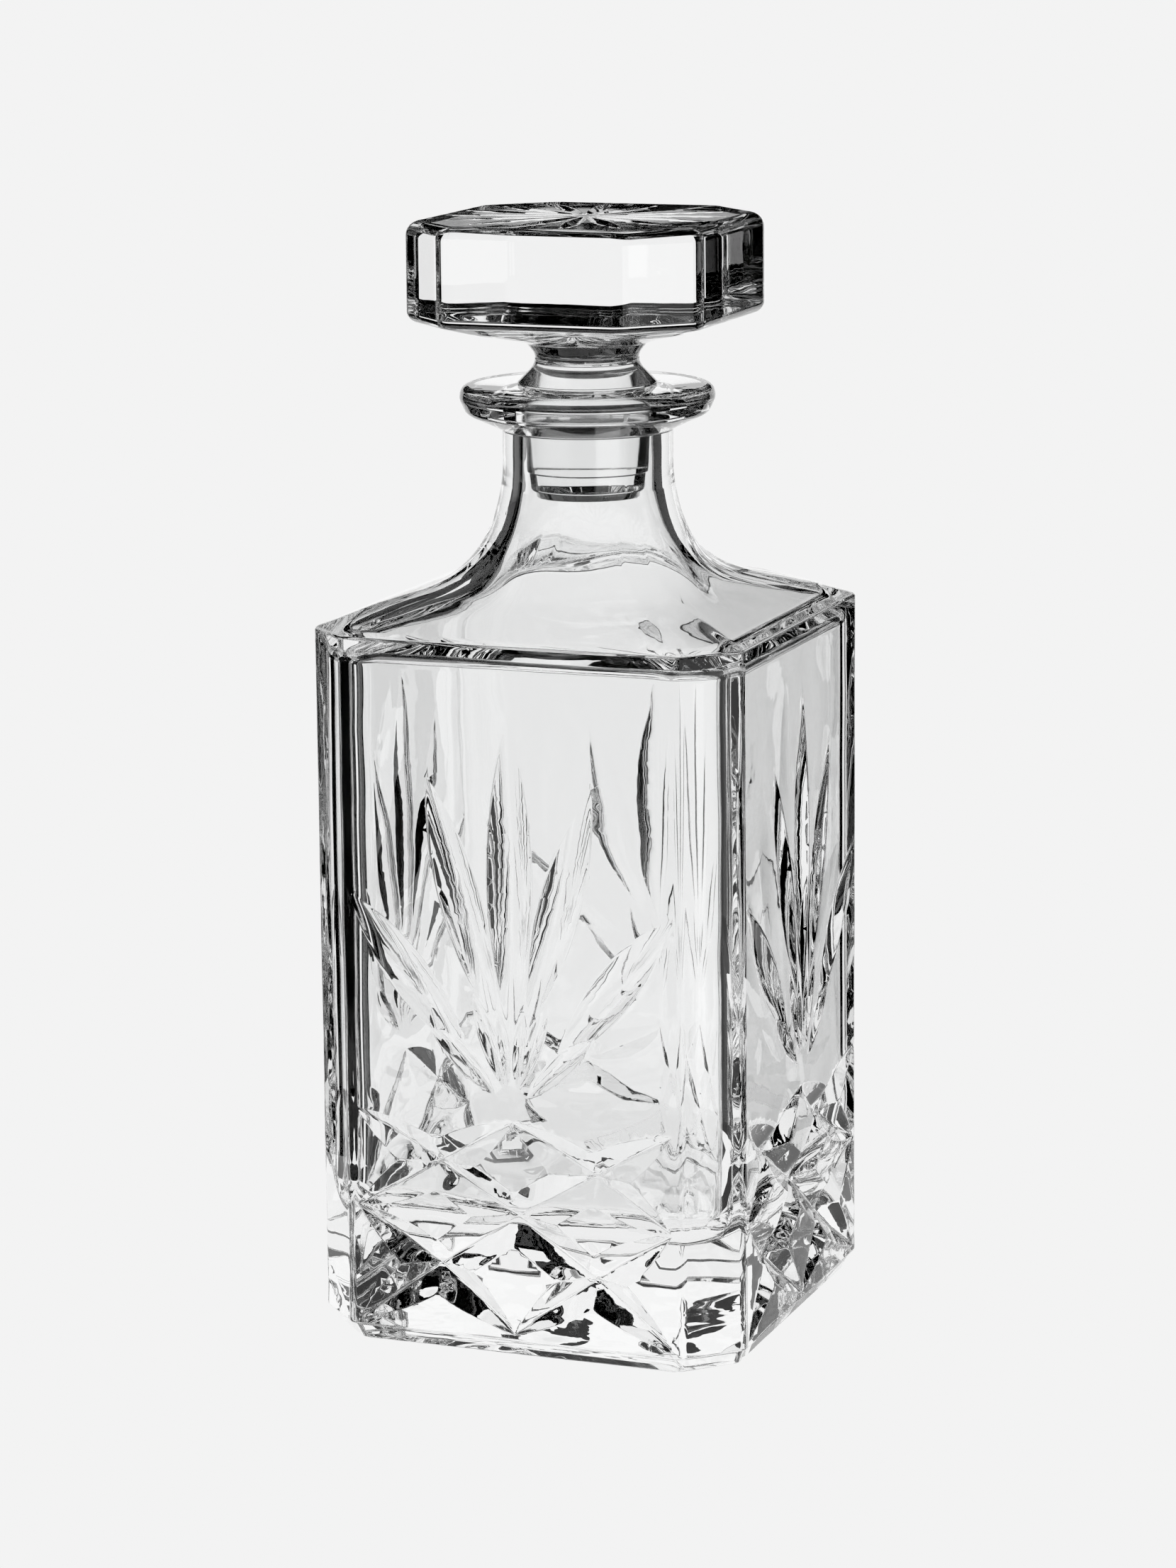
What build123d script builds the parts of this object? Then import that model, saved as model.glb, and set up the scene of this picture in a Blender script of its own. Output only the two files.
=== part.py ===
"""Square cut-crystal spirit decanter: a thick glass bottle and its loose glass stopper.

Millimetres, +Z up, origin at the centre of the foot's underside, -Y is a flat front face.
"""
from build123d import *
from math import sqrt
import os

# ---------------------------------------------------------------- bottle, outside
body_half = 46.0            # centre to a flat face
body_corner = 10.0          # leg of the flat that bevels each upright corner
foot_height = 3.4           # the foot tapers in under the body
foot_step = 1.0             # how far the foot's top stands in from the body
foot_lean = 1.3             # how much further in the foot's underside stands
upright_round = 3.2         # fire-polished rounding of the body's upright edges
neck_radius = 17.5
lip_under = 183.6           # height where the lip meets the neck
lip_top = 193.0
lip_radius = 26.3
lip_round = 3.2             # radius of the lip's rounded rim
lip_flat_radius = 23.6      # the lip's top is flat inside this radius

# Shoulder rings, lowest first: height, reach to the flat faces, roundness from 0 to 1.
shoulder_rings = [
    (145.2, body_half, 0.0),
    (148.0, 43.0, 0.04),
    (151.0, 34.5, 0.15),
    (154.6, 27.0, 0.40),
    (160.5, 21.4, 0.75),
    (168.5, 18.6, 1.0),
    (177.0, neck_radius, 1.0),
]

# ---------------------------------------------------------------- bottle, inside
base_thickness = 24.0       # glass under the cavity
cavity_half = 39.4          # centre to the inside of a flat wall
cavity_corner = 14.0        # leg of the cavity's own corner flats
cavity_round = 6.0          # rounding of the edge of the cavity's floor
bore_radius = 13.0          # the bore at the lip
bore_low_radius = 13.5      # the bore below the plug
cavity_rings = [
    (139.5, cavity_half, 0.0),
    (142.6, 36.0, 0.10),
    (146.2, 27.5, 0.30),
    (151.0, 20.8, 0.60),
    (158.5, 16.0, 0.90),
    (166.5, 14.0, 1.0),
]
bore_start = 166.5

# ---------------------------------------------------------------- cuts in the flat faces
lattice_rows = [5.2, 17.6, 29.2, 39.1, 49.4]    # heights of the crossings, lowest first
lattice_pitch = 16.9        # sideways step from one crossing to the next
lattice_depth = 3.0
lattice_half_width = 4.6
above_face = 0.6            # how far a cutter stands out of the glass
# The fan's middle leaf and its right-hand ones: foot, tip, half width, depth.
fan_leaf_list = [
    ((0.0, 66.0), (0.0, 133.0), 4.7, 2.6),
    ((3.5, 69.0), (17.5, 119.0), 4.3, 2.4),
    ((9.5, 62.5), (34.2, 94.0), 4.3, 2.4),
    ((3.2, 54.5), (18.5, 70.0), 2.1, 1.3),
    ((1.6, 56.5), (8.0, 75.0), 1.7, 1.1),
    ((0.9, 57.0), (2.6, 72.0), 1.2, 0.8),
]

# ---------------------------------------------------------------- stopper
head_half = 31.9            # centre to a flat side
head_corner = 12.5          # leg of the head's corner flats
head_bottom = 207.1
head_top = 227.2
head_upright_round = 5.0
head_rim_round = 3.0
star_rays = 16
star_inner = 2.2
star_outer = 28.6
star_depth = 1.3
star_half_width = 1.7
seat_clearance = 0.06       # the seat rests this far over the lip, so nothing overlaps
plug_clearance = 0.08       # running fit of the plug in the bore
plug_bottom = 170.0
ground_bottom = 175.6       # lower edge of the ground band
plug_narrowing = 0.6        # how much thinner the plug is at the end of the ground band
plug_step = 0.4             # the plain tip stands in by this much
tip_radius = 10.0
tip_bevel = 1.6
seat_radius = 14.2
waist_radius = 10.6
# The waist's flare down to the seat and up to the head: radius, height.
waist_outline = [
    (seat_radius - 0.2, 193.9),
    (12.2, 195.0),
    (10.9, 196.5),
    (waist_radius, 198.2),
    (10.9, 199.9),
    (12.0, 201.5),
]
bowl_radius = 13.0          # the bowl-shaped underside starts from this circle
bowl_height = 201.7


def bevelled_corners(half, corner):
    """The eight corners of a bevelled square, anticlockwise from the front."""
    near = half - corner
    return [
        (-near, -half), (near, -half), (half, -near), (half, near),
        (near, half), (-near, half), (-half, near), (-half, -near),
    ]


def bevelled_square(z, half, corner):
    """A flat bevelled square at a height."""
    return Plane.XY.offset(z) * Polygon(*bevelled_corners(half, corner), align=None)


def towards_circle(point, radius, roundness):
    """A point of the bevelled square, moved towards the circle of the same reach."""
    return point * (1.0 - roundness) + point.normalized() * (radius * roundness)


def ring(z, half, corner_share, roundness):
    """A section of the shoulder: bevelled square at roundness 0, circle at 1."""
    if roundness == 0.0:
        return bevelled_square(z, half, half * corner_share)
    corners = [Vector(x, y) for x, y in bevelled_corners(half, half * corner_share)]
    edges = []
    for start, end in zip(corners, corners[1:] + corners[:1]):
        middle = (start + end) * 0.5
        edges.append(ThreePointArc(
            towards_circle(start, half, roundness),
            towards_circle(middle, half, roundness),
            towards_circle(end, half, roundness),
        ))
    return Plane.XY.offset(z) * make_face(edges)


def shoulder(rings, corner_share):
    """A smooth loft through the rings, from the bevelled square up to the neck."""
    return loft([ring(z, half, corner_share, roundness) for z, half, roundness in rings])


def turned_profile(points):
    """A solid of revolution about Z from (radius, height) points joined by lines."""
    outline = Polyline(*[(radius, 0, z) for radius, z in points], close=True)
    return revolve(make_face(outline), Axis.Z)


def leaf_cut(length, depth, half_width):
    """A pyramid, point down, that leaves one V leaf along X in the plane Z = 0."""
    grow = 1.0 + above_face / depth
    x = length / 2 * grow
    y = half_width * grow
    rim = [(x, 0, above_face), (0, y, above_face), (-x, 0, above_face), (0, -y, above_face)]
    point = (0, 0, -depth)
    sides = [Face(Wire.make_polygon([start, end, point]))
             for start, end in zip(rim, rim[1:] + rim[:1])]
    lid = Face(Wire.make_polygon(rim))
    return Solid(Shell(sides + [lid]))


def groove_cut(length, depth, half_width, closed_start, closed_end):
    """A V groove along X from 0 to length; a closed end rises to a point in the face."""
    grow = 1.0 + above_face / depth
    rim_y = half_width * grow
    if not (closed_start or closed_end):
        section = Plane.YZ.offset(-0.5) * Polygon(
            (-rim_y, above_face), (0, -depth), (rim_y, above_face), align=None)
        return extrude(section, length + 1.0)
    deep_x = length if closed_start else 0.0
    tip_x = length - length * grow if closed_start else length * grow
    left = (deep_x, -rim_y, above_face)
    right = (deep_x, rim_y, above_face)
    low = (deep_x, 0, -depth)
    tip = (tip_x, 0, above_face)
    sides = [Face(Wire.make_polygon(corners))
             for corners in ([left, right, low], [left, low, tip],
                             [low, right, tip], [right, left, tip])]
    return Solid(Shell(sides))


def on_front_face(first, second, along):
    """The place of a cutter on the front face, X from one point (x, z) towards another."""
    x = first[0] + (second[0] - first[0]) * along
    z = first[1] + (second[1] - first[1]) * along
    direction = (second[0] - first[0], 0, second[1] - first[1])
    return Plane(origin=(x, -body_half, z), x_dir=direction, z_dir=(0, -1, 0)).location


def span(first, second):
    """The distance between two points of the front face."""
    return sqrt((second[0] - first[0]) ** 2 + (second[1] - first[1]) ** 2)


def lattice_grooves():
    """The crossing grooves, one stretch from each crossing up to the next two."""
    grooves = []
    top_row = len(lattice_rows) - 1
    for row in range(top_row):
        for column in range(-2, 3):
            if (row + column) % 2:
                continue
            for step in (-1, 1):
                if abs(column + step) > 2:
                    continue
                start = (column * lattice_pitch, lattice_rows[row])
                end = ((column + step) * lattice_pitch, lattice_rows[row + 1])
                closed_start = abs(column) == 2 or row == 0
                closed_end = abs(column + step) == 2 or row + 1 == top_row
                groove = groove_cut(span(start, end), lattice_depth, lattice_half_width,
                                    closed_start, closed_end)
                grooves.append(on_front_face(start, end, 0.0) * groove)
    return grooves


def fan_leaves():
    """The leaves that spread upwards over the lattice."""
    leaves = []
    for foot_end, tip_end, half_width, depth in fan_leaf_list:
        for side in ((1, -1) if tip_end[0] > 0 else (1,)):
            start = (foot_end[0] * side, foot_end[1])
            end = (tip_end[0] * side, tip_end[1])
            leaf = leaf_cut(span(start, end), depth, half_width)
            leaves.append(on_front_face(start, end, 0.5) * leaf)
    return leaves


def foot():
    """The tapered foot under the body."""
    top_half = body_half - foot_step
    bottom_half = top_half - foot_lean
    share = body_corner / body_half
    return loft(
        [bevelled_square(0, bottom_half, bottom_half * share),
         bevelled_square(foot_height, top_half, top_half * share)],
        ruled=True,
    )


def body_block():
    """The upright part between foot and shoulder, with its eight upright edges rounded."""
    height = shoulder_rings[0][0] - foot_height
    block = extrude(bevelled_square(foot_height, body_half, body_corner), height)
    return fillet(block.edges().filter_by(Axis.Z), upright_round)


def neck_and_lip():
    """The round neck from the top of the shoulder up to the rolled lip."""
    base = shoulder_rings[-1][0]
    rim_height = lip_top - lip_round
    outline = Polyline(
        (0, 0, base), (neck_radius, 0, base), (neck_radius, 0, lip_under),
        (lip_radius - lip_round, 0, lip_under + 2.6),
    )
    under = Line(outline @ 1, (lip_radius - 0.9, 0, rim_height - 2.2))
    rim = ThreePointArc(
        under @ 1, (lip_radius, 0, rim_height), (lip_flat_radius, 0, lip_top),
    )
    top = Polyline(rim @ 1, (0, 0, lip_top), (0, 0, base))
    return revolve(make_face([outline, under, rim, top]), Axis.Z)


def cavity():
    """Everything inside: the straight chamber, the inner shoulder and the bore."""
    chamber_top = cavity_rings[0][0]
    chamber = extrude(
        bevelled_square(base_thickness, cavity_half, cavity_corner),
        chamber_top - base_thickness,
    )
    chamber = fillet(chamber.edges().filter_by(Axis.Z), cavity_round)
    floor_edges = chamber.edges().group_by(Axis.Z)[0]
    chamber = fillet(floor_edges, cavity_round)
    inner_shoulder = shoulder(cavity_rings, cavity_corner / cavity_half)
    bore = turned_profile([
        (0, bore_start - 0.5), (cavity_rings[-1][1], bore_start - 0.5),
        (bore_low_radius, ground_bottom - 3.0), (bore_radius, lip_top),
        (bore_radius + 0.5, lip_top + 1.0), (0, lip_top + 1.0),
    ])
    return chamber + inner_shoulder + bore


def bottle():
    """The bottle: foot, body, shoulder, neck and lip, hollowed, with its four cut faces."""
    face_cuts = lattice_grooves() + fan_leaves()
    block = body_block()
    for quarter in range(4):
        block -= [Rot(0, 0, 90 * quarter) * cut for cut in face_cuts]
    outside = foot() + block
    outside += shoulder(shoulder_rings, body_corner / body_half)
    outside += neck_and_lip()
    return outside - cavity()


def star_leaves():
    """The rays of the star on the stopper's top."""
    leaves = []
    middle = (star_inner + star_outer) / 2
    for index in range(star_rays):
        cut = leaf_cut(star_outer - star_inner, star_depth, star_half_width)
        turn = 360 * (index + 0.5) / star_rays
        leaves.append(Rot(0, 0, turn) * Pos(middle, 0, head_top) * cut)
    return leaves


def stopper():
    """The stopper: square head with a star, waist, seat and ground plug."""
    head = extrude(bevelled_square(head_bottom, head_half, head_corner), head_top - head_bottom)
    head = fillet(head.edges().filter_by(Axis.Z), head_upright_round)
    head = fillet(head.edges().group_by(Axis.Z)[-1], head_rim_round)
    bowl = loft([
        ring(bowl_height, bowl_radius, head_corner / head_half, 1.0),
        bevelled_square(head_bottom, head_half - 0.3, head_corner - 0.2),
    ])
    seat_bottom = lip_top + seat_clearance
    top_radius = bore_radius - plug_clearance
    low_radius = top_radius - plug_narrowing
    stem = turned_profile([
        (0, plug_bottom), (tip_radius, plug_bottom),
        (tip_radius + tip_bevel, plug_bottom + tip_bevel),
        (low_radius - plug_step, ground_bottom - 0.3),
        (low_radius, ground_bottom), (top_radius, seat_bottom),
        (seat_radius, seat_bottom), *waist_outline,
        (bowl_radius - 0.1, bowl_height + 0.4), (0, bowl_height + 0.4),
    ])
    glass = head + bowl + stem
    glass -= star_leaves()
    return glass


os.makedirs("parts", exist_ok=True)
nodes = {"bottle": bottle(), "stopper": stopper()}
for name, shape in nodes.items():
    export_step(shape, f"parts/{name}.step")
    print(name, len(shape.solids()), "solid", round(shape.volume / 1000, 1), "cm3")
print("cavity", round(cavity().volume / 1000, 1), "cm3")
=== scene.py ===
# Square cut-crystal decanter and its lift-out stopper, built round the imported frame. Metres.
import bpy
from math import atan2, cos, hypot, pi, radians, sin, sqrt, tan
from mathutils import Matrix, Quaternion, Vector
from mathutils.geometry import delaunay_2d_cdt


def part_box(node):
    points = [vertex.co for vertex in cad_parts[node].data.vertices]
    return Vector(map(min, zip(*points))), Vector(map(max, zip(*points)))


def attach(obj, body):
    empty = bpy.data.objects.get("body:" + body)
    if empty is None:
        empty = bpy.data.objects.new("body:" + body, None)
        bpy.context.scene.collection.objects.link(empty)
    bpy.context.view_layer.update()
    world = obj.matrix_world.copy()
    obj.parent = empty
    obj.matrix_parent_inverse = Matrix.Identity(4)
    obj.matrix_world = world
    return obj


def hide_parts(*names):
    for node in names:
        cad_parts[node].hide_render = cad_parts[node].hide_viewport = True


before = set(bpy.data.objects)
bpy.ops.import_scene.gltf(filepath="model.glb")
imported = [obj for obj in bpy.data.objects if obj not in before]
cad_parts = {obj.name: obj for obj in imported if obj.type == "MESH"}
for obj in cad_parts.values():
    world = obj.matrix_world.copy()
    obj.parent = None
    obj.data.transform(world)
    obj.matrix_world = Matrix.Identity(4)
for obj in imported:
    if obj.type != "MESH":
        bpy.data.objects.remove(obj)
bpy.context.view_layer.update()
mm = 0.001
scene = bpy.context.scene
bottleLow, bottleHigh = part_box("bottle")
stopperLow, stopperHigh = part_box("stopper")
bodyHalf = bottleHigh.x / mm
lipTop = bottleHigh.z / mm
headHalf = stopperHigh.x / mm
headTop = stopperHigh.z / mm
plugBottom = stopperLow.z / mm
print("frame:", "body", round(bodyHalf * 2, 1), "lip", round(lipTop, 1), "top", round(headTop, 1))


# Outlines and sections are in millimetres until a mesh is made.
def smoothStep(value):
    value = min(max(value, 0.0), 1.0)
    return value * value * (3.0 - 2.0 * value)


def filletedOutline(corners, longestRun):
    # a corner is reach, height, fillet radius and turn step in degrees; gives (reach, height) points
    points = [Vector(corners[0][:2])]
    for before, corner, after in zip(corners, corners[1:], corners[2:]):
        here = Vector(corner[:2])
        inward = (Vector(before[:2]) - here).normalized()
        outward = (Vector(after[:2]) - here).normalized()
        turn = pi - inward.angle(outward)
        radius = corner[2]
        if radius <= 0.0 or turn < 0.01:
            points.append(here)
            continue
        setBack = radius * tan(turn / 2)
        start = here + inward * setBack
        bisector = (inward + outward).normalized()
        centre = here + bisector * (radius / cos(turn / 2))
        spoke = start - centre
        direction = 1.0 if inward.cross(outward) < 0.0 else -1.0
        steps = max(2, int(turn / radians(corner[3])) + 1)
        for step in range(steps + 1):
            angle = direction * turn * step / steps
            points.append(centre + Vector((
                spoke.x * cos(angle) - spoke.y * sin(angle),
                spoke.x * sin(angle) + spoke.y * cos(angle))))
    points.append(Vector(corners[-1][:2]))
    finer = [points[0]]
    for start, end in zip(points, points[1:]):
        pieces = max(1, int((end - start).length / longestRun + 0.5))
        finer += [start.lerp(end, (i + 1) / pieces) for i in range(pieces)]
    return finer


def bevelledSection(cornerShare, roundShare, flatSteps, roundSteps, cornerSteps):
    # a bevelled square of half-width 1, anticlockwise from the left end of its front side
    right = 1.0 - cornerShare - roundShare * tan(radians(22.5))
    front = [(-right + 2 * right * i / flatSteps, -1.0) for i in range(flatSteps)]
    firstArc = []
    for i in range(roundSteps + 1):
        turn = radians(45 * i / roundSteps)
        firstArc.append((right + roundShare * sin(turn), -1 + roundShare * (1 - cos(turn))))
    # the second arc mirrors the first about the corner's own diagonal
    secondArc = [(-y, -x) for x, y in reversed(firstArc)]
    corner = []
    for i in range(1, cornerSteps):
        part = i / cornerSteps
        corner.append((firstArc[-1][0] * (1 - part) + secondArc[0][0] * part,
                       firstArc[-1][1] * (1 - part) + secondArc[0][1] * part))
    quarter = front + firstArc + corner + secondArc[:-1]
    section = []
    for turn in range(4):
        section += quarter
        quarter = [(-y, x) for x, y in quarter]
    return section


def bevelledRing(section, half, roundness, height):
    # roundness 0 is the bevelled square, 1 the circle of the same reach
    ring = []
    for x, y in section:
        scale = half * ((1.0 - roundness) + roundness / hypot(x, y))
        ring.append(Vector((x * scale, y * scale, height)))
    return ring


def softSquareRing(section, half, corner, height):
    # a square with fully rounded corners, met by the section's own directions
    ring = []
    straight = half - corner
    for x, y in section:
        length = hypot(x, y)
        big, small = max(abs(x), abs(y)) / length, min(abs(x), abs(y)) / length
        if half * small / big <= straight:
            reach = half / big
        else:
            along = straight * (big + small)
            reach = along + sqrt(max(along ** 2 - 2 * straight ** 2 + corner ** 2, 0.0))
        ring.append(Vector((x / length * reach, y / length * reach, height)))
    return ring


cutLook = {
    "overrun": 2.5,          # how far an open end runs on into the next cut
    "reachBeyond": 1.5,      # how far past its rim a cut is still worked out
    "fillSpacing": 2.4,      # spacing of the plain points between the cuts
    "keepClear": 0.25,       # points stay this far inside the panel's outline
    "creaseSearch": 8, "creaseHalvings": 10,
}


# A cut in a flat face is a straight-sided V groove, or a flute with a round bottom.
def cut(start, end, halfWidth, depth, flute=False, openStart=False, openEnd=False):
    # an open end runs on at full depth into the next cut; a closed one rises to a point
    start, end = Vector(start), Vector(end)
    length = (end - start).length
    return {"start": start, "along": (end - start) / length, "length": length,
            "halfWidth": halfWidth, "depth": depth, "flute": flute,
            "openStart": openStart, "openEnd": openEnd}


def cutShare(one, part):
    # width left at a part of the length, as a share of the full width
    if one["openStart"] and one["openEnd"]:
        return 1.0
    if one["openEnd"]:
        return 1.0 - (1.0 - part) ** 2
    if one["openStart"]:
        return 1.0 - part ** 2
    return 4.0 * part * (1.0 - part)


def cutDepth(one, point, valley):
    # signed depth below the flat face, before any edge is softened
    offset = point - one["start"]
    part = offset.dot(one["along"]) / one["length"]
    spare = cutLook["overrun"] / one["length"]
    lowest = -spare if one["openStart"] else 0.0
    highest = 1.0 + spare if one["openEnd"] else 1.0
    if part < lowest or part > highest:
        return -1.0
    across = abs(offset.cross(one["along"]))
    if across > one["halfWidth"] + cutLook["reachBeyond"]:
        return -1.0
    share = cutShare(one, min(max(part, 0.0), 1.0))
    if one["flute"]:
        return one["depth"] * (share ** 2 - (across / one["halfWidth"]) ** 2)
    return one["depth"] * (share - (sqrt(across ** 2 + valley ** 2) - valley) / one["halfWidth"])


def faceDepth(cuts, point, valley, blend=0.0, skip=None):
    # the deepest cut wins; where two meet, the edge between them is blended
    deepest = -1.0
    for one in cuts:
        if one is skip:
            continue
        depth = cutDepth(one, point, valley)
        near = max(blend - abs(depth - deepest), 0.0)
        deepest = max(depth, deepest) + (near * near / (4 * blend) if near > 0.0 else 0.0)
    return deepest


def creasesAcross(cuts, one, middle, side, reach, valley):
    # distances from the valley at which another cut takes over
    def lead(distance):
        spot = middle + side * distance
        return cutDepth(one, spot, valley) - faceDepth(cuts, spot, valley, skip=one)

    found, steps = [], cutLook["creaseSearch"]
    before = lead(0.0)
    for step in range(1, steps + 1):
        low, high = reach * (step - 1) / steps, reach * step / steps
        after = lead(high)
        if (before > 0.0) != (after > 0.0):
            falling = before > 0.0
            for _ in range(cutLook["creaseHalvings"]):
                half = (low + high) / 2
                if (lead(half) > 0.0) == falling:
                    low = half
                else:
                    high = half
            found.append((low + high) / 2)
        before = after
    return found


def cutPanel(cuts, boundary, spacing, soft, valley):
    # triangulates a flat panel so that its edges follow the valleys, rims and creases
    points = list(boundary)
    lines = [(i, (i + 1) % len(boundary)) for i in range(len(boundary))]

    def place(spot):
        if not insideOf(boundary, spot):
            return None
        points.append(spot)
        return len(points) - 1

    def joinUp(before, after):
        if before is not None and after is not None:
            if (points[before] - points[after]).length < 3.0 * spacing:
                lines.append((before, after))
        return after

    for one in cuts:
        steps = max(10, int(one["length"] / spacing))
        valleyBefore, rimBefore = None, {-1: None, 1: None}
        for step in range(steps + 1):
            part = step / steps
            if not (one["openStart"] or one["openEnd"]):
                part = 0.5 - 0.5 * cos(pi * part)
            middle = one["start"] + one["along"] * (part * one["length"])
            reach = cutShare(one, part) * one["halfWidth"]
            leads = cutDepth(one, middle, valley) >= faceDepth(cuts, middle, valley, skip=one) - 0.01
            valleyBefore = joinUp(valleyBefore, place(middle)) if leads else None
            for way in (-1, 1):
                side = Vector((-one["along"].y, one["along"].x)) * way
                spread = [reach * 0.25, reach * 0.5, reach * 0.75] if one["flute"] else [
                    valley * 0.6, valley * 1.6, reach * 0.5]
                spread += [reach - soft, reach, reach + soft]
                if reach < 1.0:
                    spread = [reach * 0.5, reach, reach + soft]
                rim = None
                for t in spread:
                    spot = middle + side * t
                    level = cutDepth(one, spot, valley)
                    if level >= faceDepth(cuts, spot, valley, skip=one) - 0.01:
                        index = place(spot)
                        rim = index if t == reach else rim
                rimBefore[way] = joinUp(rimBefore[way], rim)
                for t in creasesAcross(cuts, one, middle, side, reach, valley):
                    for shift in (-soft, -soft * 0.4, 0.0, soft * 0.4):
                        place(middle + side * (t + shift))
    lowX, highX = min(p.x for p in boundary), max(p.x for p in boundary)
    lowY, highY = min(p.y for p in boundary), max(p.y for p in boundary)
    columns = int((highX - lowX) / cutLook["fillSpacing"])
    rows = int((highY - lowY) / cutLook["fillSpacing"])
    for row in range(1, rows):
        for column in range(1, columns):
            shift = 0.5 if row % 2 else 0.0
            spot = Vector((lowX + (highX - lowX) * (column + shift) / columns,
                           lowY + (highY - lowY) * row / rows))
            if abs(faceDepth(cuts, spot, valley)) > 0.3:
                place(spot)
    spots, _, faces, _, _, _ = delaunay_2d_cdt(points, lines, [], 1, 1e-3)
    return spots, faces


def insideOf(outline, point):
    # the outline is convex and anticlockwise
    for start, end in zip(outline, outline[1:] + outline[:1]):
        if (end - start).cross(point - start) < cutLook["keepClear"] * (end - start).length:
            return False
    return True


def meshObject(name, vertices, faces, attributes):
    mesh = bpy.data.meshes.new(name)
    mesh.from_pydata([v * mm for v in vertices], [], faces)
    for title, values in attributes.items():
        layer = mesh.attributes.new(title, "FLOAT", "POINT")
        layer.data.foreach_set("value", values)
    mesh.shade_smooth()
    piece = bpy.data.objects.new(name, mesh)
    scene.collection.objects.link(piece)
    return piece


def newTree(name, inputs):
    tree = bpy.data.node_groups.new(name, "GeometryNodeTree")
    tree.interface.new_socket("Geometry", in_out="INPUT", socket_type="NodeSocketGeometry")
    for title, kind, value in inputs:
        socket = tree.interface.new_socket(title, in_out="INPUT", socket_type=kind)
        socket.default_value = value
    tree.interface.new_socket("Geometry", in_out="OUTPUT", socket_type="NodeSocketGeometry")
    return tree, tree.nodes.new("NodeGroupInput"), tree.nodes.new("NodeGroupOutput")


def mathNode(tree, operation, *values):
    node = tree.nodes.new("ShaderNodeMath")
    node.operation = operation
    for socket, value in zip(node.inputs, values):
        if isinstance(value, (int, float)):
            socket.default_value = value
        else:
            tree.links.new(value, socket)
    return node.outputs[0]


def applyTree(piece, tree, settings):
    # sets a tree's inputs by identifier, evaluates it, and keeps the result as a plain mesh
    modifier = piece.modifiers.new(tree.name, "NODES")
    modifier.node_group = tree
    for item in tree.interface.items_tree:
        if item.in_out == "INPUT" and item.name in settings:
            modifier[item.identifier] = settings[item.name]
    bpy.context.view_layer.update()
    evaluated = piece.evaluated_get(bpy.context.evaluated_depsgraph_get())
    result = bpy.data.meshes.new_from_object(evaluated)
    piece.modifiers.remove(modifier)
    piece.data = result
    return piece


# Presses the cuts into one flat panel, then sets copies of it at even turns about the middle.
def cutAndRepeatTree(name, glass):
    tree, source, sink = newTree(name, [
        ("Rim softness", "NodeSocketFloat", 0.0001),
        ("Inward", "NodeSocketVector", (0.0, 1.0, 0.0)),
        ("Copies", "NodeSocketInt", 4),
    ])
    new, link = tree.nodes.new, tree.links.new
    raw = new("GeometryNodeInputNamedAttribute")
    raw.data_type = "FLOAT"
    raw.inputs["Name"].default_value = "rawDepth"
    softness = source.outputs["Rim softness"]
    double = mathNode(tree, "MULTIPLY", softness, 2.0)
    lifted = mathNode(tree, "MAXIMUM", mathNode(tree, "ADD", raw.outputs["Attribute"], softness), 0.0)
    near = mathNode(tree, "MINIMUM", lifted, double)
    bend = mathNode(tree, "DIVIDE", mathNode(tree, "MULTIPLY", near, near),
                mathNode(tree, "MULTIPLY", softness, 4.0))
    beyond = mathNode(tree, "MAXIMUM", mathNode(tree, "SUBTRACT", lifted, double), 0.0)
    depth = mathNode(tree, "ADD", bend, beyond)
    offset = new("ShaderNodeVectorMath")
    offset.operation = "SCALE"
    link(source.outputs["Inward"], offset.inputs[0])
    link(depth, offset.inputs["Scale"])
    press = new("GeometryNodeSetPosition")
    link(source.outputs["Geometry"], press.inputs["Geometry"])
    link(offset.outputs[0], press.inputs["Offset"])
    places = new("GeometryNodeMeshLine")
    link(source.outputs["Copies"], places.inputs["Count"])
    places.inputs["Offset"].default_value = (0.0, 0.0, 0.0)
    index = new("GeometryNodeInputIndex")
    step = mathNode(tree, "DIVIDE", 2 * pi, source.outputs["Copies"])
    turn = new("ShaderNodeCombineXYZ")
    link(mathNode(tree, "MULTIPLY", index.outputs[0], step), turn.inputs["Z"])
    copies = new("GeometryNodeInstanceOnPoints")
    link(places.outputs[0], copies.inputs["Points"])
    link(press.outputs[0], copies.inputs["Instance"])
    link(turn.outputs[0], copies.inputs["Rotation"])
    real = new("GeometryNodeRealizeInstances")
    link(copies.outputs[0], real.inputs[0])
    paint = new("GeometryNodeSetMaterial")
    paint.inputs["Material"].default_value = glass
    link(real.outputs[0], paint.inputs["Geometry"])
    link(paint.outputs[0], sink.inputs[0])
    return tree


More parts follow.
